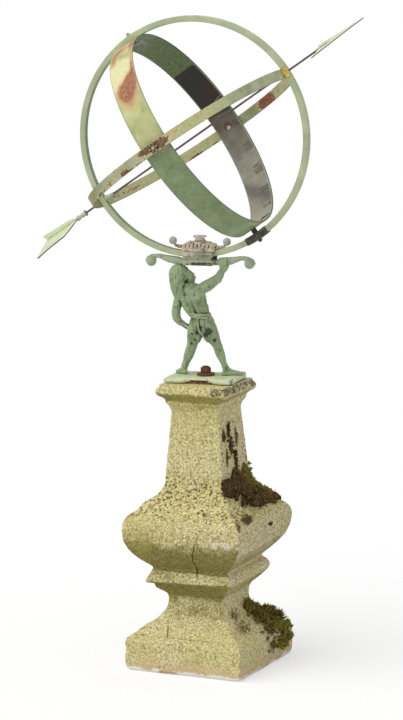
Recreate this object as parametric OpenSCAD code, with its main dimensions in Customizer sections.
// Armillary sundial: three rings and an arrow gnomon on a figure, a slab and a stone pedestal.
// X runs from south to north in the meridian plane, Y to the west and Z up.
// The origin is the middle of the underside of the plinth.

/* [Pedestal] */
// Side of the square plinth
plinth_side = 323; // [310:1:350]
// Height of the plinth up to the bedding joint
plinth_h = 92; // [80:1:110]
// Height of the concave apron between plinth and neck
apron_h = 83; // [76:1:95]
// Half width of the neck under the bead
neck_half = 77.5; // [70:0.5:84]
// Height from the neck up to the bead
neck_h = 44; // [40:1:52]
// Half width of the bead
bead_half = 118.5; // [112:0.5:124]
// Height of the bead
bead_h = 26; // [20:1:30]
// Height of the groove between bead and bulb
groove_h = 17; // [12:1:24]
// Half width of the bulb at its widest
bulb_half = 163.3; // [156:0.5:170]
// Height of the bulb from the groove to its upper edge
bulb_h = 108; // [104:1:116]
// Half width of the shaft at its foot
shaft_foot_half = 81; // [76:0.5:88]
// Half width of the shaft under the cap
shaft_head_half = 68.3; // [64:0.5:72]
// Height of the tapered shaft
shaft_h = 166; // [140:1:200]
// Half width of the cap
cap_half = 97.5; // [92:0.5:104]
// Height of the cap above the shaft
cap_h = 72; // [68:1:80]
// Turn of the pedestal seen from above, against the meridian plane, in degrees
pedestal_turn = -6.5; // [-45:0.5:45]

/* [Anchor] */
// Radius of the threaded anchor stud
stud_r = 8; // [6:0.5:10]
// Length of the stud inside the stone
stud_deep = 120; // [80:5:160]
// Wall of the lead plug round the stud
lead_wall = 4; // [3:0.5:6]
// Radius of the washer
washer_r = 22.5; // [18:0.5:26]
// Thickness of the washer
washer_t = 4; // [3:0.5:6]
// Width of the hexagon nut across its corners
nut_w = 27.6; // [24:0.2:32]
// Height of the hexagon nut
nut_h = 15; // [12:0.5:18]
// Length of the stud above its nut
stud_proud = 3; // [1:0.5:8]

/* [Slab and figure] */
// Length of the slab
slab_l = 176; // [172:1:200]
// Depth of the slab
slab_d = 112; // [100:1:130]
// Thickness of the slab
slab_t = 15; // [13:0.5:20]
// Width of the arch under the slab
arch_w = 76; // [64:1:84]
// Rise of the arch under the slab
arch_h = 8.5; // [7:0.5:9]
// Thickness of one packing plate
packing_t = 3.8; // [3:0.1:4]
// Height of the figure from its soles to the top of its head
figure_h = 277.5; // [266:0.5:288]
// Radius of the screws in the feet
foot_screw_r = 2.5; // [2:0.1:3]
// Radius of the pins in head and hand
fixing_pin_r = 3; // [2.5:0.1:3.5]

/* [Cradle] */
// Distance of the cradle's middle south of the anchor stud
cradle_south = 11; // [5:0.5:16]
// Length of the cradle block
block_l = 78; // [74:1:90]
// Depth of the cradle block
block_d = 44; // [40:1:52]
// Height of the yoke's middle bar
bar_h = 14; // [12:0.5:16]
// Height of the cradle block
block_h = 20.5; // [19.5:0.1:22]
// Height of the cap's lower tier
cap_tier_h = 8.5; // [7:0.5:10]
// Half span of the yoke's end balls
yoke_half = 130; // [120:1:140]
// Radius of the yoke's end balls
yoke_ball_r = 13.8; // [11:0.1:15]
// Radius of the yoke's arm at its thinnest
yoke_arm_r = 5.3; // [4.5:0.1:6]
// Half span of the small balls on the cap's horns
horn_half = 71; // [68:0.5:76]
// Radius of the small balls
horn_ball_r = 10; // [8:0.1:11]
// Radius of the horns
horn_r = 3.2; // [2.8:0.1:3.6]
// Radius of the clamp screw's shank
clamp_r = 4; // [3:0.1:5]
// Height of the clamp screw's crown
crown_h = 13; // [11:0.5:16]
// Radius of the cradle screws
cradle_screw_r = 2.5; // [2:0.1:3]

/* [Rings] */
// Outer radius of the meridian ring
meridian_r = 300; // [296:1:304]
// Radial thickness of the meridian ring
meridian_t = 15; // [13:0.5:17]
// Width of the meridian ring
meridian_w = 18; // [15:0.5:20]
// Latitude at which the gnomon rests, in degrees
latitude = 34; // [30:0.5:40]
// Distance of the ring's centre south of the cradle's middle
ring_south = 12; // [4:0.5:14]
// Width of the polar ring
polar_w = 26; // [20:1:30]
// Thickness of the polar ring
polar_t = 3.5; // [2.5:0.1:5]
// Width of the equatorial band
band_w = 72; // [60:1:80]
// Thickness of the equatorial band
band_t = 3; // [2.5:0.1:4]
// Gap between band and meridian ring at the lower crossing
band_gap = 13.5; // [12:0.5:20]
// Thickness of the chapter strip
strip_t = 2; // [1.5:0.1:2.5]
// Half of the arc that the chapter strip covers, in degrees
strip_half_arc = 118; // [110:1:130]
// Length of the numerals
numeral_l = 24; // [18:0.5:25]
// Relief of the numerals
numeral_t = 1.2; // [0.8:0.1:1.5]
// Wall of the splice sleeve
sleeve_t = 1.6; // [1.2:0.1:2]
// Half of the arc that the splice sleeve covers, in degrees
sleeve_half_arc = 6.2; // [5:0.1:6.5]

/* [Arrow] */
// Radius of the gnomon rod
rod_r = 2.6; // [2:0.1:3.4]
// Distance from the centre to the arrow's point
point_x = 529; // [500:1:560]
// Distance from the centre to the arrow's barbs
barb_x = 379; // [370:1:390]
// Half width of the arrowhead
head_half = 57; // [50:0.5:64]
// Depth of the notch between the barbs
head_notch = 14; // [10:0.5:20]
// Thickness of the arrow's sheet
sheet_t = 2.4; // [1.6:0.1:3]
// Roll of the arrowhead about the rod, in degrees
head_roll = 13; // [0:1:20]
// Distance from the centre to the ferrule's front
ferrule_x = 350; // [346:1:358]
// Length of the ferrule
ferrule_l = 29; // [26:0.5:34]
// Distance from the centre to the tips of the fletching
tail_x = 508; // [490:1:530]
// Half width of the fletching at its tips
tail_half = 64; // [56:0.5:70]
// Roll of the fletching's east and west wings about the rod, in degrees
wing_roll = [27, 16];

/* [Hidden] */

// Clearances: between bodies that move, round a bolt in its hole, and between seated pieces
run_gap = 0.3;
bolt_gap = 0.3;
seat_gap = 0.2;
// Sides of a full circle on true round shapes, and of a rounded faceted limb
fine = 96;
limb_sides = 12;
limb_steps = 3;
eps = 0.01;

// Heights of the pedestal's mouldings
plinth_half = plinth_side / 2;
neck_z = plinth_h + apron_h;
bead_z = neck_z + neck_h;
groove_z = bead_z + bead_h;
bulb_z = groove_z + groove_h;
shoulder_z = bulb_z + bulb_h;
sweep_h = 116;
shaft_z = shoulder_z + sweep_h;
cap_z = shaft_z + shaft_h;
pedestal_top = cap_z + cap_h;

// Heights above the pedestal
slab_z = pedestal_top + run_gap;
sole_z = slab_z + slab_t;
bar_z = sole_z + figure_h + seat_gap;
block_z = bar_z + bar_h;
cap_seat_z = block_z + block_h;

// The meridian ring's centre
cradle_x = -cradle_south;
ring_x = cradle_x - ring_south;
channel_floor = 4.6;
ring_z = block_z + channel_floor + meridian_r;
meridian_in = meridian_r - meridian_t;

// The polar ring passes inside the meridian ring at the north pole and outside it at the south
polar_north = sqrt(pow(meridian_in, 2) - pow(polar_w / 2, 2)) - seat_gap;
polar_south = meridian_r + 2 * seat_gap;
polar_r = (polar_north + polar_south + polar_t) / 2;
polar_x = (polar_north - polar_south - polar_t) / 2;

// The band touches the meridian ring at the upper crossing and is held off at the lower one
band_top = sqrt(pow(meridian_in, 2) - pow(band_w / 2, 2)) - run_gap;
band_r = (band_top + meridian_in - band_gap) / 2;
band_z = band_top - band_r;
strip_r = band_r - band_t;
crossing_in = sqrt(pow(band_r, 2) - pow(band_z, 2));
crossing_out = sqrt(pow(polar_r - polar_t, 2) - pow(polar_x, 2));

// Small fasteners of the rings
bolt_r = 3;
bolt_head_r = 6;
rosette_r = 13;
pole_hole_r = rod_r + bolt_gap;

function arc(c, r, a, b, n = 8) = [for (i = [0:n]) let (t = a + (b - a) * i / n)
    [c.x + r * cos(t), c.y + r * sin(t)]];

// The arc that leaves the point p straight up and bends away over the distances w and h
function cove(p, w, h, n = 8) = let (t = 2 * atan(w / abs(h)), r = abs(h) / sin(t))
    [for (i = [0:n]) let (u = t * i / n)
        [p.x + r * (1 - cos(u)), p.y + sign(h) * r * sin(u)]];

function backwards(p) = [for (i = [len(p) - 1:-1:0]) p[i]];

// Right half of a moulding outline, closed down the middle, mirrored to the left
function both_sides(p) = concat(p, [for (q = backwards(p)) [-q.x, q.y]]);

// A prism of the outline along X met by the same prism along Y: a square plan with mitred corners
module mitred(outline) {
    reach = 2 * plinth_side;
    intersection() {
        rotate([90, 0, 0]) linear_extrude(reach, center = true) polygon(both_sides(outline));
        rotate([90, 0, 90]) linear_extrude(reach, center = true) polygon(both_sides(outline));
    }
}

plinth_shoulder = 20;
foot_step = 15;
plinth_outline = concat(
    [[plinth_half - 5, 0], [plinth_half - 1, 6], [plinth_half, 20]],
    arc([plinth_half - plinth_shoulder, plinth_h - plinth_shoulder], plinth_shoulder, 0, 70),
    [[plinth_half - foot_step, plinth_h]]);

apron_slope_h = 26;
apron_foot = plinth_half - foot_step;
apron_turn = neck_half + 40;
groove_half = bead_half - 10;
bulb_arc_r = 95;
bulb_flat_h = 20;
shoulder_r = 40;
shoulder_arc = 71;
sweep_corner = 40;
sweep_corner_h = 56;
cap_cove_h = 22;
cap_fillet_h = 9;
cap_round_r = 15;
baluster_outline = concat(
    [[apron_foot, plinth_h], [apron_turn, plinth_h + apron_slope_h]],
    backwards(cove([neck_half, neck_z], apron_turn - neck_half, plinth_h + apron_slope_h - neck_z)),
    cove([neck_half, neck_z], bead_half - 14 - neck_half, neck_h - 7),
    [[bead_half - 12, bead_z - 5], [bead_half - 12, bead_z]],
    arc([bead_half - bead_h / 2, bead_z + bead_h / 2], bead_h / 2, -90, 90),
    [[groove_half, groove_z + 2], [groove_half, bulb_z - 1]],
    [for (i = [0:10]) let (z0 = bulb_h - bulb_flat_h, t = -asin(z0 / bulb_arc_r) * (1 - i / 10))
        [bulb_half + bulb_arc_r * (cos(t) - 1), bulb_z + z0 + bulb_arc_r * sin(t)]],
    arc([bulb_half - shoulder_r, shoulder_z], shoulder_r, 0, shoulder_arc),
    [[shaft_foot_half + sweep_corner, shaft_z - sweep_corner_h]],
    backwards(cove([shaft_foot_half, shaft_z], sweep_corner, -sweep_corner_h)),
    cove([shaft_head_half, cap_z], 9, cap_cove_h),
    [[shaft_head_half + 10, cap_z + cap_cove_h + 1],
     [shaft_head_half + 10, cap_z + cap_cove_h + cap_fillet_h]],
    arc([cap_half - cap_round_r, pedestal_top - cap_round_r - 4], cap_round_r, -80, 60),
    [[cap_half - cap_round_r / 2, pedestal_top]]);

module pedestal_plinth() color([0.80, 0.76, 0.55])
    rotate([0, 0, pedestal_turn]) mitred(plinth_outline);

module pedestal_baluster() color([0.82, 0.78, 0.57])
    difference() {
        rotate([0, 0, pedestal_turn]) mitred(baluster_outline);
        translate([0, 0, pedestal_top - stud_deep - seat_gap])
            cylinder(h = stud_deep + 1, r = stud_r + lead_wall, $fn = fine);
    }

module stud_lead() color([0.45, 0.46, 0.47])
    translate([0, 0, pedestal_top - stud_deep]) difference() {
        cylinder(h = stud_deep, r = stud_r + lead_wall - seat_gap / 2, $fn = fine);
        translate([0, 0, -1]) cylinder(h = stud_deep + 2, r = stud_r + seat_gap / 4, $fn = fine);
    }

nut_z = sole_z + run_gap + washer_t;
module anchor_stud() color([0.35, 0.24, 0.18]) {
    z0 = pedestal_top - stud_deep;
    translate([0, 0, z0]) cylinder(h = nut_z + nut_h + stud_proud - z0, r = stud_r, $fn = fine);
}

module anchor_washer() color([0.38, 0.24, 0.17])
    translate([0, 0, sole_z + run_gap]) difference() {
        cylinder(h = washer_t, r = washer_r, $fn = fine);
        translate([0, 0, -1]) cylinder(h = washer_t + 2, r = stud_r + bolt_gap, $fn = fine);
    }

module anchor_nut() color([0.36, 0.20, 0.15])
    translate([0, 0, nut_z]) difference() {
        intersection() {
            cylinder(h = nut_h, d = nut_w, $fn = 6);
            union() {
                cylinder(h = nut_h - 2, d = nut_w + 2, $fn = fine);
                translate([0, 0, nut_h - 2 - eps])
                    cylinder(h = 2 + eps, d1 = nut_w + 1, d2 = nut_w - 5, $fn = fine);
            }
        }
        translate([0, 0, -1]) cylinder(h = nut_h + 2, r = stud_r + bolt_gap / 3, $fn = fine);
    }

// Half width of the arch at a height above the slab's underside
arch_top_w = arch_w - 28;
function arch_half(h) = (arch_w - (arch_w - arch_top_w) * h / arch_h) / 2;

module packing_plates() color([0.47, 0.30, 0.20])
    difference() {
        for (i = [0:1]) {
            w = 2 * arch_half((i + 1) * packing_t) - 1;
            translate([-w / 2, -slab_d / 2 + 6 + 4 * i, slab_z + i * packing_t])
                cube([w, slab_d - 12 - 8 * i, packing_t]);
        }
        translate([0, 0, slab_z - 1])
            cylinder(h = 2 * packing_t + 2, r = stud_r + 1, $fn = fine);
    }

// The figure's limb points are in hundredths of its height
figure_unit = figure_h / 100;
foot_screws_at = [[-22 * figure_unit, 2.5 * figure_unit], [18.4 * figure_unit, 2.5 * figure_unit]];
foot_head_h = 3;
module figure_slab() color([0.66, 0.74, 0.58])
    difference() {
        translate([0, 0, slab_z]) linear_extrude(slab_t) polygon(concat(
            arc([slab_l / 2 - 6, slab_d / 2 - 6], 6, 0, 90),
            arc([-slab_l / 2 + 6, slab_d / 2 - 6], 6, 90, 180),
            arc([-slab_l / 2 + 6, -slab_d / 2 + 6], 6, 180, 270),
            arc([slab_l / 2 - 6, -slab_d / 2 + 6], 6, 270, 360)));
        translate([0, 0, slab_z]) rotate([90, 0, 0]) linear_extrude(2 * slab_d, center = true)
            polygon([[-arch_w / 2, -1], [arch_w / 2, -1], [arch_w / 2, 0],
                [arch_half(arch_h), arch_h], [-arch_half(arch_h), arch_h], [-arch_w / 2, 0]]);
        translate([0, 0, slab_z - 1]) cylinder(h = slab_t + 2, r = stud_r + 0.5, $fn = fine);
        for (p = foot_screws_at) translate([p.x, p.y, slab_z - 1]) {
            cylinder(h = slab_t + 2, r = foot_screw_r + bolt_gap, $fn = 48);
            cylinder(h = foot_head_h + 1 + seat_gap, r = 2 * foot_screw_r + bolt_gap, $fn = 48);
        }
    }

module foot_screws() color([0.40, 0.33, 0.27])
    for (p = foot_screws_at) translate([p.x, p.y, slab_z]) {
        cylinder(h = foot_head_h, r = 2 * foot_screw_r, $fn = 48);
        translate([0, 0, foot_head_h - eps])
            cylinder(h = slab_t + 12 - foot_head_h + eps, r = foot_screw_r, $fn = 48);
    }

// A rounded limb through points [x, y, z, half width, half depth], smoothed between them
function unit(v) = v / norm(v);
function place(p) = [p[0], p[1], p[2]];
function between(a, b, c, d, t) = 0.5 * (2 * b + (c - a) * t
    + (2 * a - 5 * b + 4 * c - d) * t * t + (3 * b - a - 3 * c + d) * t * t * t);
function smoothed(p, n) = let (m = len(p) - 1) concat(
    [for (i = [0:m - 1], k = [0:n - 1])
        between(p[max(i - 1, 0)], p[i], p[i + 1], p[min(i + 2, m)], k / n)], [p[m]]);
function domed(p) = let (m = len(p) - 1,
        a = unit(place(p[0]) - place(p[1])), b = unit(place(p[m]) - place(p[m - 1])))
    concat([for (t = [80, 55, 25]) ring_off(p[0], a, t)], p,
        [for (t = [25, 55, 80]) ring_off(p[m], b, t)]);
function ring_off(q, d, t) = let (h = min(q[3], q[4]) * sin(t), c = place(q) + h * d)
    [c.x, c.y, c.z, q[3] * cos(t), q[4] * cos(t)];
function limb_ring(p, i, s, ref) = let (m = len(p) - 1, c = place(p[i]),
        t = unit(place(p[min(i + 1, m)]) - place(p[max(i - 1, 0)])),
        across = unit(cross(ref, t)), deep = cross(t, across))
    [for (j = [0:s - 1]) let (u = 360 * j / s)
        c + across * p[i][3] * cos(u) + deep * p[i][4] * sin(u)];

module limb(path, s = limb_sides, n = limb_steps, ref = [0, 1, 0]) {
    p = domed(smoothed(path, n));
    m = len(p) - 1;
    points = [for (i = [0:m]) each limb_ring(p, i, s, ref)];
    sides = [for (i = [0:m - 1], j = [0:s - 1]) let (k = (j + 1) % s)
        each [[i * s + j, (i + 1) * s + j, (i + 1) * s + k],
              [i * s + j, (i + 1) * s + k, i * s + k]]];
    polyhedron(points, concat(sides, [[for (j = [0:s - 1]) j]],
        [[for (j = [s - 1:-1:0]) m * s + j]]));
}

// The figure's parts stand in their own frame, with the soles at height 0
module torso() {
    limb([[-2.16, 0.72, 33.15, 8.65, 6.85], [-2.52, 0, 40.36, 14.05, 9.01], [-3.24, 0, 46.13, 13.33, 8.65],
          [-4.68, 0.72, 52.97, 8.65, 6.49], [-6.85, 0.72, 59.1, 9.73, 6.85],
          [-9.73, 0.36, 66.31, 11.53, 7.57],
          [-12.25, 0, 73.15, 11.17, 6.49], [-14.05, 0.72, 77.12, 5.05, 4.32]], s = 16);
    limb([[-13.69, 0.72, 74.95, 3.96, 3.96], [-16.22, 1.44, 80, 3.6, 3.6], [-18.74, 1.8, 83.6, 3.6, 3.96]]);
    // Buttocks
    limb([[-9.37, -3.96, 38.2, 5.41, 4.68], [-9.37, -3.24, 43.96, 6.13, 5.41]]);
    limb([[4.32, -3.96, 38.92, 5.77, 4.68], [3.96, -3.24, 44.68, 6.13, 5.41]]);
    // Shoulder blades
    limb([[-19.82, -2.88, 70.63, 4.68, 3.6], [-17.3, -3.6, 64.86, 3.96, 3.24]]);
    limb([[-5.05, -2.88, 73.51, 5.05, 3.6], [-6.49, -3.6, 67.03, 3.96, 3.24]]);
}
module head() {
    // Skull and long hair that falls down the back
    limb([[-20.54, 1.8, 84.32, 5.41, 6.13], [-23.06, 2.16, 89.37, 7.21, 7.21],
          [-24.14, 1.44, 95.14, 5.77, 5.77]], s = 14);
    limb([[-27.39, -0.72, 92.97, 4.32, 4.68], [-28.11, -2.16, 85.77, 4.32, 4.32],
          [-27.03, -3.24, 77.84, 4.32, 3.24],
          [-24.14, -4.32, 72.07, 1.8, 1.8]]);
    limb([[-23.78, -3.6, 92.97, 5.41, 3.96], [-22.34, -4.32, 86.49, 4.68, 3.6],
          [-22.34, -4.32, 80, 3.24, 2.52]]);
    // Face turned to the raised hand
    limb([[-18.02, 2.88, 92.25, 3.6, 4.32], [-15.14, 3.24, 89.73, 3.24, 4.32],
          [-13.69, 3.24, 86.13, 3.24, 3.6], [-15.14, 2.88, 83.24, 2.88, 2.88]]);
    limb([[-13.69, 3.24, 88.65, 1.44, 1.44], [-11.17, 3.24, 86.85, 1.44, 1.44]], n = 2);
}
module arm_on_hip() limb([[-20.9, 0, 74.23, 5.41, 5.77], [-26.31, -0.72, 69.91, 5.05, 5.05],
      [-28.83, -1.44, 63.42, 3.96, 4.32],
    [-30.27, -2.52, 56.94, 3.6, 3.6], [-30.27, -2.88, 53.33, 3.24, 3.6],
    [-26.67, -2.52, 49.73, 3.24, 3.24], [-21.62, -1.44, 46.13, 2.88, 2.88],
    [-16.94, 0, 43.6, 2.88, 2.52], [-13.69, 1.44, 42.52, 2.16, 2.16]]);
module raised_arm() {
    limb([[-10.09, 0, 74.23, 5.41, 5.77], [-3.24, 0.36, 76.76, 5.41, 5.77],
          [2.88, 1.08, 78.56, 4.68, 5.05], [8.65, 1.44, 81.44, 4.32, 4.32],
          [13.33, 1.44, 84.68, 3.96, 3.96], [15.86, 1.08, 87.57, 3.6, 3.96],
          [16.58, 0.72, 91.17, 3.24, 3.6], [17.3, 0.36, 95.14, 2.88, 3.24],
          [18.38, 0, 97.66, 3.6, 3.96]]);
}
// Fingers on both sides of the yoke's arm
module fingers() for (side = [-1, 1], i = [0:1])
    limb([[17.3 + 3.24 * i, side * 3.24, 95.86, 1.44, 1.08],
          [17.66 + 3.24 * i, side * 4.47, 99.46, 1.44, 1.08],
          [18.02 + 3.24 * i, side * 4.47, 103.06, 1.23, 0.94]], s = 8, n = 2);
module leg(hip, knee, ankle, toe, heel) {
    calf = (knee + ankle) / 2;
    limb([[hip.x, hip.y, hip.z, 7.21, 7.57], [(hip.x * 2 + knee.x) / 3, (hip.y * 2 + knee.y) / 3,
            (hip.z * 2 + knee.z) / 3, 6.49, 7.21],
          [(hip.x + 2 * knee.x) / 3, (hip.y + 2 * knee.y) / 3, (hip.z + 2 * knee.z) / 3, 5.41, 5.77],
          [knee.x, knee.y, knee.z, 4.32, 4.68], [calf.x, calf.y - 1.08, calf.z + 2.88, 4.68, 5.05],
          [ankle.x, ankle.y, ankle.z, 2.7, 3.06], [ankle.x, ankle.y, 1.44, 3.24, 3.24]]);
    limb([[heel.x, heel.y, 2.16, 2.88, 2.88],
          [(heel.x + toe.x) / 2, (heel.y + toe.y) / 2, 2.52, 3.24, 2.88],
          [toe.x, toe.y, 1.44, 3.06, 1.8]], ref = [0, 0, 1]);
}
module loincloth() {
    limb([[-2.16, 4.32, 38.92, 4.32, 4.32], [-1.44, 1.44, 33.15, 3.24, 5.41],
          [-1.8, -2.88, 34.59, 2.88, 3.96], [-2.52, -6.85, 40.36, 2.52, 2.16],
          [-3.24, -6.49, 49.73, 2.16, 2.16]], ref = [0, 1, 0.2]);
    // Belt with its knot behind
    for (z = [51.89, 53.69]) limb([for (i = [0:14]) let (t = 360 * i / 14 - 90)
        [-4.32 + 9.37 * cos(t), 0.36 + 7.21 * sin(t), z, 1.08, 1.08]], s = 8, n = 1, ref = [0, 0, 1]);
    limb([[-5.41, -6.85, 51.53, 1.8, 1.44], [-5.41, -7.21, 54.05, 1.8, 1.44]], s = 8, n = 1);
}

module figure() color([0.52, 0.60, 0.44])
    translate([0, 0, sole_z]) scale(figure_unit) {
        intersection() {
            union() {
                torso();
                head();
                arm_on_hip();
                raised_arm();
                leg([-9.37, 0, 40.36], [-15.14, 1.44, 24.14], [-21.62, 2.16, 7.21], [-30.27, 8.65, 0],
                      [-19.46, 0, 0]);
                leg([3.96, 0, 41.08], [10.81, 2.16, 26.31], [18.02, 2.16, 7.21], [30.27, 10.81, 0],
                      [16.22, 0, 0]);
                loincloth();
            }
            // Flat soles, and a flat seat for the yoke on head and palm
            translate([-54.05, -36.04, 0]) cube([108.11, 72.07, 100]);
        }
        fingers();
    }

head_pin_at = [-23.8 * figure_unit, 1.4 * figure_unit];
hand_pin_at = [18.7 * figure_unit, 0];
pin_in_figure = 14;
pin_in_yoke = 9;
module fixing_pin(at) translate([at.x, at.y, bar_z - pin_in_figure])
    cylinder(h = pin_in_figure + pin_in_yoke, r = fixing_pin_r, $fn = 48);
module head_pin() color([0.40, 0.33, 0.27]) fixing_pin(head_pin_at);
module hand_pin() color([0.40, 0.33, 0.27]) fixing_pin(hand_pin_at);

// One arm of the yoke, out from the middle bar and over to its ball
module yoke_arm() {
    translate([0, 0, bar_z])
        limb([[block_l / 2 - 4, 0, 7, 6.6, 8], [block_l / 2 + 6, 0, 7.2, 7, 8],
              [block_l / 2 + 16, 0, 9.4, 9, 7.8], [block_l / 2 + 29, 0, 10.2, 9.2, 7.6],
              [yoke_half - 48, 0, 12.5, 8.6, 7.2], [yoke_half - 34, 0, 17.2, 6.6, 6.8],
              [yoke_half - 21, 0, 20.2, yoke_arm_r, 6.4], [yoke_half - 11, 0, 19, yoke_arm_r, 6.2],
              [yoke_half - 4, 0, 13, yoke_arm_r, 6]]);
    translate([yoke_half, 0, bar_z + 7.6]) sphere(r = yoke_ball_r, $fn = 48);
}

cradle_screw_dx = 30;
cradle_screw_dy = 15.5;
module at_cradle_screws() for (sx = [-1, 1], sy = [-1, 1])
    translate([cradle_x + sx * cradle_screw_dx, sy * cradle_screw_dy, 0]) children();
cradle_head_h = 3.5;
cradle_screw_l = bar_h + block_h + cap_tier_h - 2;

module yoke() color([0.60, 0.68, 0.52])
    difference() {
        translate([cradle_x, 0, 0]) union() {
            translate([-block_l / 2, -block_d / 2, bar_z]) cube([block_l, block_d, bar_h]);
            yoke_arm();
            mirror([1, 0, 0]) yoke_arm();
        }
        at_cradle_screws() translate([0, 0, bar_z - 1]) {
            cylinder(h = bar_h + 2, r = cradle_screw_r + bolt_gap, $fn = 48);
            cylinder(h = cradle_head_h + 1 + seat_gap, r = 1.8 * cradle_screw_r + bolt_gap, $fn = 48);
        }
        for (at = [head_pin_at, hand_pin_at]) translate([at.x, at.y, bar_z - 1])
            cylinder(h = pin_in_yoke + 1 + seat_gap, r = fixing_pin_r + bolt_gap, $fn = 48);
        // Flat seat of the block between the two arms
        translate([cradle_x - block_l / 2 - seat_gap, -block_d, block_z])
            cube([block_l + 2 * seat_gap, 2 * block_d, block_h]);
        // Flat underside that rests on head and palm
        translate([cradle_x - yoke_half + 2 * yoke_ball_r, -block_d, bar_z - block_h])
            cube([2 * yoke_half - 4 * yoke_ball_r, 2 * block_d, block_h]);
    }

// The curved channel that the meridian ring slides in
module ring_channel() translate([ring_x, 0, ring_z]) rotate([90, 0, 0]) {
    difference() {
        cylinder(h = meridian_w + 2 * run_gap, r = meridian_r + run_gap, center = true,
            $fn = 2 * fine);
        cylinder(h = 2 * meridian_w, r = meridian_in - run_gap, center = true, $fn = 2 * fine);
    }
}

// The block's channel is open at the top, under the cap
module ring_bed() translate([ring_x, 0, ring_z]) rotate([90, 0, 0])
    cylinder(h = meridian_w + 2 * run_gap, r = meridian_r + run_gap, center = true, $fn = 2 * fine);

module cradle_block() color([0.72, 0.74, 0.64])
    difference() {
        translate([cradle_x - block_l / 2, -block_d / 2, block_z])
            cube([block_l, block_d, block_h]);
        ring_bed();
        at_cradle_screws() translate([0, 0, block_z - 1])
            cylinder(h = block_h + 2, r = cradle_screw_r + bolt_gap, $fn = 48);
        translate([cradle_x + block_l / 2 - end_screw_l, 0, end_screw_z]) rotate([0, 90, 0])
            cylinder(h = end_screw_l + 1, r = end_screw_r + bolt_gap / 3, $fn = 48);
    }

module cradle_screws() color([0.42, 0.36, 0.30])
    at_cradle_screws() translate([0, 0, bar_z]) {
        cylinder(h = cradle_head_h, r = 1.8 * cradle_screw_r, $fn = 48);
        translate([0, 0, cradle_head_h - eps])
            cylinder(h = cradle_screw_l - cradle_head_h + eps, r = cradle_screw_r, $fn = 48);
    }

cap_l = block_l + 4;
cap_d = block_d + 2;
tier_2_h = 5;
tier_3_h = 6;
boss_h = 6;
boss_r = 19;
cap_top_z = cap_seat_z + cap_tier_h + tier_2_h + tier_3_h + boss_h;
horn_ball_z = cap_top_z - 0.5;
horn_pin_r = 2;
module horn() {
    reach = horn_ball_r + 0.4;
    end = [horn_half - reach * cos(45), 0, horn_ball_z - reach * sin(45)];
    horn_z = cap_seat_z + cap_tier_h + 3;
    limb([[cap_l / 2 - 8, 0, horn_z, horn_r, horn_r], [cap_l / 2 + 2, 0, horn_z, horn_r, horn_r],
          [cap_l / 2 + 10, 0, horn_z + 0.8, horn_r, horn_r],
          [end.x - 4, 0, end.z - 3, horn_r, horn_r], [end.x - 1.5, 0, end.z - 1.5, horn_r, horn_r]],
        n = 2);
    translate([horn_half, 0, horn_ball_z]) rotate([0, -135, 0])
        cylinder(h = horn_ball_r + 3, r = horn_pin_r, $fn = 48);
}

module cradle_cap() color([0.74, 0.73, 0.64])
    difference() {
        translate([cradle_x, 0, cap_seat_z + seat_gap]) union() {
            translate([-cap_l / 2, -cap_d / 2, 0]) cube([cap_l, cap_d, cap_tier_h - seat_gap]);
            translate([-cap_l / 2 + 6, -cap_d / 2 + 4, 0])
                cube([cap_l - 12, cap_d - 8, cap_tier_h + tier_2_h - seat_gap]);
            for (sx = [-1, 1], sy = [-1, 1])
                translate([sx * (cap_l / 2 - 7), sy * (cap_d / 2 - 7), 0])
                    cylinder(h = cap_tier_h + tier_2_h + 3, r = 6, $fn = 48);
            cylinder(h = cap_tier_h + tier_2_h + tier_3_h - seat_gap, r = boss_r + 3, $fn = fine);
            cylinder(h = cap_tier_h + tier_2_h + tier_3_h + boss_h - seat_gap, r = boss_r,
                $fn = fine);
            translate([0, 0, -cap_seat_z - seat_gap]) {
                horn();
                mirror([1, 0, 0]) horn();
            }
        }
        ring_channel();
        at_cradle_screws() translate([0, 0, cap_seat_z - 1])
            cylinder(h = cap_tier_h, r = cradle_screw_r + bolt_gap / 3, $fn = 48);
        translate([cradle_x, 0, cap_seat_z - 1])
            cylinder(h = cap_top_z - cap_seat_z + 2, r = clamp_r + run_gap, $fn = fine);
    }

module cap_balls() color([0.78, 0.74, 0.68])
    for (side = [-1, 1]) translate([cradle_x + side * horn_half, 0, horn_ball_z]) difference() {
        sphere(r = horn_ball_r, $fn = 48);
        rotate([0, -135 * side, 0]) translate([0, 0, -seat_gap])
            cylinder(h = horn_ball_r + 3, r = horn_pin_r + seat_gap, $fn = 48);
    }

// The crown-headed thumb screw, whose tip bears on the inside of the meridian ring
clamp_tip_z = ring_z - sqrt(pow(meridian_in, 2) - pow(ring_south + clamp_r, 2)) + run_gap;
module clamp_screw() color([0.70, 0.70, 0.60])
    translate([cradle_x, 0, 0]) difference() {
        union() {
            translate([0, 0, clamp_tip_z])
                cylinder(h = cap_top_z - clamp_tip_z + 2, r = clamp_r, $fn = fine);
            translate([0, 0, cap_top_z + run_gap]) rotate_extrude($fn = fine) polygon([
                [0, 0], [15, 0], [15.5, 1.5], [13, 3], [11.5, 5], [11.5, 7.5], [13.5, 9],
                [17, 10], [17.5, crown_h - 1.5], [16.5, crown_h], [0, crown_h]]);
        }
        for (i = [0:7]) rotate([0, 0, 45 * i + 22.5])
            translate([19.5, 0, cap_top_z + 8]) cylinder(h = crown_h, r = 4, $fn = 32);
    }

// A set screw in the north end of the block, under the ring
end_screw_r = 1.6;
end_screw_z = block_z + 4.9;
end_screw_l = 10;
module end_screw() color([0.20, 0.19, 0.17])
    translate([cradle_x + block_l / 2 + seat_gap, 0, end_screw_z]) rotate([0, 90, 0]) {
        cylinder(h = 5, r = 2.1 * end_screw_r, $fn = 6);
        translate([0, 0, -end_screw_l]) cylinder(h = end_screw_l + eps, r = end_screw_r, $fn = 48);
    }

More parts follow.
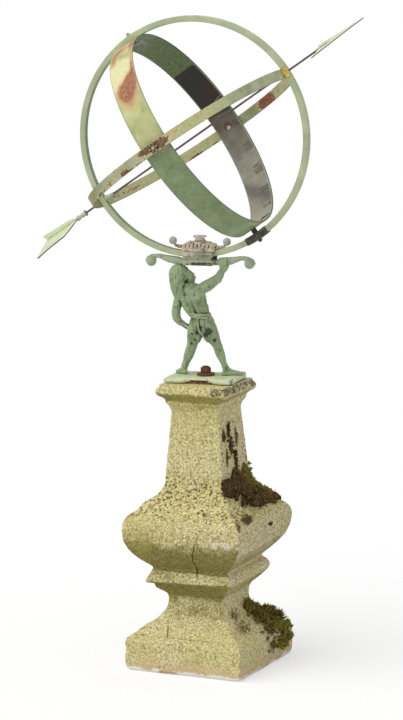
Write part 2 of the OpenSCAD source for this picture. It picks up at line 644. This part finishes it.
// The sphere's own frame: X along the gnomon to the north, Y west, origin at the centre
module sphere_frame() translate([ring_x, 0, ring_z]) rotate([0, -latitude, 0]) children();

module meridian_ring() color([0.64, 0.71, 0.55])
    sphere_frame() difference() {
        rotate([90, 0, 0]) rotate_extrude($fn = 2 * fine)
            translate([meridian_in, -meridian_w / 2]) square([meridian_t, meridian_w]);
        rotate([0, 90, 0]) cylinder(h = 3 * meridian_r, r = pole_hole_r, center = true, $fn = 48);
        cylinder(h = 3 * meridian_r, r = bolt_r + bolt_gap, center = true, $fn = 48);
        // Joint in the ring, hidden by the sleeve
        rotate([0, 4, 0]) translate([0, 0, -meridian_r])
            cube([0.6, 2 * meridian_w, 4 * meridian_t], center = true);
    }

module splice_sleeve() color([0.30, 0.32, 0.29])
    sphere_frame() difference() {
        rotate([90, 0, 0]) rotate([0, 0, -90 - sleeve_half_arc])
            rotate_extrude(angle = 2 * sleeve_half_arc, $fn = 2 * fine) difference() {
                translate([meridian_in - sleeve_t - seat_gap, -meridian_w / 2 - sleeve_t - seat_gap])
                    square([meridian_t + 2 * (sleeve_t + seat_gap),
                        meridian_w + 2 * (sleeve_t + seat_gap)]);
                translate([meridian_in - seat_gap, -meridian_w / 2 - seat_gap])
                    square([meridian_t + 2 * seat_gap, meridian_w + 2 * seat_gap]);
            }
        translate([0, 0, -2 * meridian_r])
            cylinder(h = 2 * meridian_r, r = bolt_r + bolt_gap, $fn = 48);
    }

module polar_ring() color([0.68, 0.68, 0.50])
    sphere_frame() difference() {
        translate([polar_x, 0, 0]) rotate_extrude($fn = 2 * fine)
            translate([polar_r - polar_t, -polar_w / 2]) square([polar_t, polar_w]);
        rotate([0, 90, 0]) cylinder(h = 3 * meridian_r, r = pole_hole_r, center = true, $fn = 48);
        rotate([90, 0, 0])
            cylinder(h = 3 * meridian_r, r = bolt_r + bolt_gap, center = true, $fn = 48);
    }

// A hoop round the gnomon, shifted to the band's centre
module hoop(r, t, w, half_arc = 180) translate([0, 0, band_z]) rotate([0, 90, 0])
    rotate([0, 0, -half_arc]) rotate_extrude(angle = 2 * half_arc, $fn = 2 * fine)
        translate([r - t, -w / 2]) square([t, w]);

module band_holes() {
    rotate([90, 0, 0]) cylinder(h = 3 * meridian_r, r = bolt_r + bolt_gap, center = true, $fn = 48);
    cylinder(h = 3 * meridian_r, r = bolt_r + bolt_gap, center = true, $fn = 48);
}

module equatorial_band() color([0.60, 0.68, 0.50])
    sphere_frame() difference() {
        hoop(band_r, band_t, band_w);
        band_holes();
    }

strip_w = band_w - 3;
module chapter_strip() color([0.42, 0.38, 0.30])
    sphere_frame() difference() {
        hoop(strip_r, strip_t, strip_w, strip_half_arc);
        band_holes();
    }

// One stroke of a numeral as a slanted bar between two points across its height
stroke_w = 2.6;
module stroke(x0, x1) polygon([[x0 - stroke_w / 2, -numeral_l / 2], [x0 + stroke_w / 2, -numeral_l / 2],
    [x1 + stroke_w / 2, numeral_l / 2], [x1 - stroke_w / 2, numeral_l / 2]]);
function letter_w(c) = c == "I" ? 6 : 13;
module letter(c) {
    if (c == "I") stroke(0, 0);
    if (c == "V") {
        stroke(0, -4.5);
        stroke(0, 4.5);
    }
    if (c == "X") {
        stroke(-4.5, 4.5);
        stroke(4.5, -4.5);
    }
}
function sum_to(v, n) = n <= 0 ? 0 : v[n - 1] + sum_to(v, n - 1);
module numeral(word) {
    w = [for (c = word) letter_w(c)];
    for (i = [0:len(word) - 1])
        translate([sum_to(w, i) + w[i] / 2 - sum_to(w, len(w)) / 2, 0]) letter(word[i]);
}

// Hours from five in the morning on the west side to seven in the evening on the east side.
// They stand along the north edge, clear of the bolt heads in the middle of the strip
hours = ["V", "VI", "VII", "VIII", "IX", "X", "XI", "XII", "I", "II", "III", "IIII", "V", "VI", "VII"];
noon = 7;
hour_arc = 15;
numeral_margin = 2.5;
numeral_x = strip_w / 2 - numeral_margin - numeral_l / 2;
module hour_numerals() color([0.47, 0.43, 0.35])
    sphere_frame() intersection() {
        hoop(strip_r - strip_t, numeral_t, strip_w);
        for (i = [0:len(hours) - 1])
            translate([0, 0, band_z]) rotate([(noon - i) * hour_arc, 0, 0])
                translate([numeral_x, 0, -strip_r]) linear_extrude(4 * strip_t)
                    rotate([0, 0, -90]) numeral(hours[i]);
    }

module crossing_spacers() color([0.40, 0.42, 0.34])
    sphere_frame() for (side = [0, 180]) rotate([-90, 0, side]) difference() {
        translate([0, 0, crossing_in + seat_gap])
            cylinder(h = crossing_out - crossing_in - 3 * seat_gap, r = bolt_head_r, $fn = 48);
        cylinder(h = 2 * meridian_r, r = bolt_r + bolt_gap, $fn = 48);
    }

strip_in = sqrt(pow(strip_r - strip_t, 2) - pow(band_z, 2));
polar_out = sqrt(pow(polar_r, 2) - pow(polar_x, 2));
crossing_head_h = 4;
module crossing_bolts() color([0.58, 0.46, 0.36])
    sphere_frame() for (side = [0, 180]) rotate([-90, 0, side]) {
        translate([0, 0, strip_in - crossing_head_h - 2 * seat_gap]) {
            cylinder(h = polar_out - strip_in + crossing_head_h + 5, r = bolt_r, $fn = 48);
            cylinder(h = crossing_head_h, r = bolt_head_r, $fn = 48);
        }
    }

module crossing_rosettes() color([0.50, 0.36, 0.26])
    sphere_frame() for (side = [0, 180]) rotate([-90, 0, side]) difference() {
        translate([0, 0, polar_out + 2 * seat_gap]) {
            for (i = [0:5]) rotate([0, 0, 60 * i]) translate([rosette_r - 5, 0, 0])
                cylinder(h = 2.5, r = 5, $fn = 32);
            cylinder(h = 4, r = rosette_r - 6, $fn = 48);
        }
        cylinder(h = 2 * meridian_r, r = bolt_r + bolt_gap / 3, $fn = 48);
    }

// A bolt across the band and the meridian ring, head inside and nut outside
module through_bolt(inner, outer) {
    translate([0, 0, inner]) cylinder(h = outer - inner + 7, r = bolt_r, $fn = 48);
    translate([0, 0, inner]) cylinder(h = 3, r = bolt_head_r, $fn = 48);
}
module hex_nut(at) translate([0, 0, at]) difference() {
    cylinder(h = 4.5, r = bolt_head_r - 0.4, $fn = 6);
    translate([0, 0, -1]) cylinder(h = 7, r = bolt_r + bolt_gap / 3, $fn = 48);
}
band_top_in = band_top - band_t;
band_low_out = band_r - band_z;
strip_low_in = band_low_out - band_t - strip_t;

module band_top_screw() color([0.32, 0.30, 0.25])
    sphere_frame() through_bolt(band_top_in - 3 - seat_gap, meridian_r);
module band_top_nut() color([0.55, 0.60, 0.45])
    sphere_frame() hex_nut(meridian_r + seat_gap);
module band_bottom_bolt() color([0.25, 0.24, 0.21])
    sphere_frame() rotate([180, 0, 0])
        through_bolt(strip_low_in - 3 - seat_gap, meridian_r + sleeve_t);
module band_bottom_nut() color([0.30, 0.28, 0.24])
    sphere_frame() rotate([180, 0, 0]) hex_nut(meridian_r + sleeve_t + 2 * seat_gap);
module band_bottom_spacer() color([0.18, 0.17, 0.15])
    sphere_frame() rotate([180, 0, 0]) difference() {
        translate([0, 0, band_low_out + seat_gap])
            cylinder(h = meridian_in - sleeve_t - band_low_out - 4 * seat_gap, r = bolt_head_r + 1,
                $fn = 48);
        cylinder(h = 2 * meridian_r, r = bolt_r + bolt_gap, $fn = 48);
    }

rod_back = ferrule_x + 18;
rod_front = barb_x + head_notch + 18;
module gnomon_rod() color([0.30, 0.27, 0.26])
    sphere_frame() translate([-rod_back, 0, 0]) rotate([0, 90, 0])
        cylinder(h = rod_back + rod_front, r = rod_r, $fn = 48);

collar_l = 24;
collar_r = 8;
collar_seat = sqrt(pow(meridian_in, 2) - pow(collar_r, 2)) - seat_gap;
module south_collar() color([0.42, 0.45, 0.36])
    sphere_frame() translate([-collar_seat, 0, 0]) rotate([0, 90, 0]) difference() {
        union() {
            cylinder(h = 4, r = collar_r, $fn = 48);
            translate([0, 0, 4 - eps]) cylinder(h = collar_l - 4, r1 = 7, r2 = 4, $fn = 48);
        }
        translate([0, 0, -1]) cylinder(h = collar_l + 2, r = rod_r + seat_gap / 2, $fn = 48);
    }

module north_patch() color([0.72, 0.60, 0.25])
    sphere_frame() translate([meridian_in + 0.5, -meridian_w / 2 - 1.5 - seat_gap / 2, -14])
        cube([meridian_t - 1, 1.5, 28]);

module arrow_ferrule() color([0.60, 0.64, 0.52])
    sphere_frame() translate([-ferrule_x, 0, 0]) rotate([0, -90, 0]) difference() {
        rotate_extrude($fn = fine) polygon([[0, 0], [8, 0], [8.5, 1.5], [8, 3], [5, 4.5],
            [5, 8], [6.5, 10], [6.5, 12], [5, 14], [4.6, 20], [7, ferrule_l - 4],
            [7, ferrule_l], [0, ferrule_l]]);
        translate([0, 0, -1]) cylinder(h = ferrule_l + 2, r = rod_r + seat_gap / 2, $fn = 48);
    }

// Outline of one wing of the fletching, from the neck at the ferrule to the notched tail
tail_notch = 30;
neck_x = ferrule_x + ferrule_l + seat_gap;
module wing_outline() polygon([[-neck_x, 0], [-neck_x, 7], [-neck_x - 10, 16],
    [-neck_x - 22, 30], [-neck_x - 40, 46], [-tail_x + 36, 53], [-tail_x + 4, tail_half - 2],
    [-tail_x, tail_half - 4], [-tail_x + 1, tail_half - 9], [-tail_x + tail_notch, 0]]);
module arrow_fletching() color([0.72, 0.80, 0.50])
    sphere_frame() {
        rotate([wing_roll[0], 0, 0]) mirror([0, 1, 0]) translate([0, 0, -sheet_t / 2])
            linear_extrude(sheet_t) wing_outline();
        rotate([wing_roll[1], 0, 0]) translate([0, 0, -sheet_t / 2])
            linear_extrude(sheet_t) wing_outline();
        translate([-tail_x + tail_notch + 2, 0, 0]) rotate([0, 90, 0])
            cylinder(h = tail_x - tail_notch - rod_back - 3, r = rod_r, $fn = 48);
    }

socket_r = rod_r + 1.6;
socket_l = 42;
module arrowhead() color([0.74, 0.78, 0.60])
    sphere_frame() difference() {
        union() {
            rotate([head_roll, 0, 0]) translate([0, 0, -sheet_t / 2]) linear_extrude(sheet_t)
                polygon([[point_x, 0], [barb_x, head_half], [barb_x + head_notch, 0],
                    [barb_x, -head_half]]);
            translate([barb_x + head_notch - 6, 0, 0]) rotate([0, 90, 0]) rotate_extrude($fn = 48)
                polygon([[0, 0], [socket_r, 0], [socket_r, socket_l - 14], [1.6, socket_l],
                    [0, socket_l]]);
        }
        rotate([0, 90, 0]) cylinder(h = rod_front + seat_gap, r = rod_r + seat_gap / 2, $fn = 48);
    }

pedestal_plinth();
pedestal_baluster();
anchor_stud();
stud_lead();
anchor_washer();
anchor_nut();
packing_plates();
figure_slab();
foot_screws();
figure();
head_pin();
hand_pin();
yoke();
cradle_block();
cradle_screws();
cradle_cap();
cap_balls();
clamp_screw();
end_screw();
meridian_ring();
splice_sleeve();
polar_ring();
equatorial_band();
chapter_strip();
hour_numerals();
crossing_spacers();
crossing_bolts();
crossing_rosettes();
band_top_screw();
band_top_nut();
band_bottom_spacer();
band_bottom_bolt();
band_bottom_nut();
gnomon_rod();
south_collar();
north_patch();
arrow_ferrule();
arrow_fletching();
arrowhead();
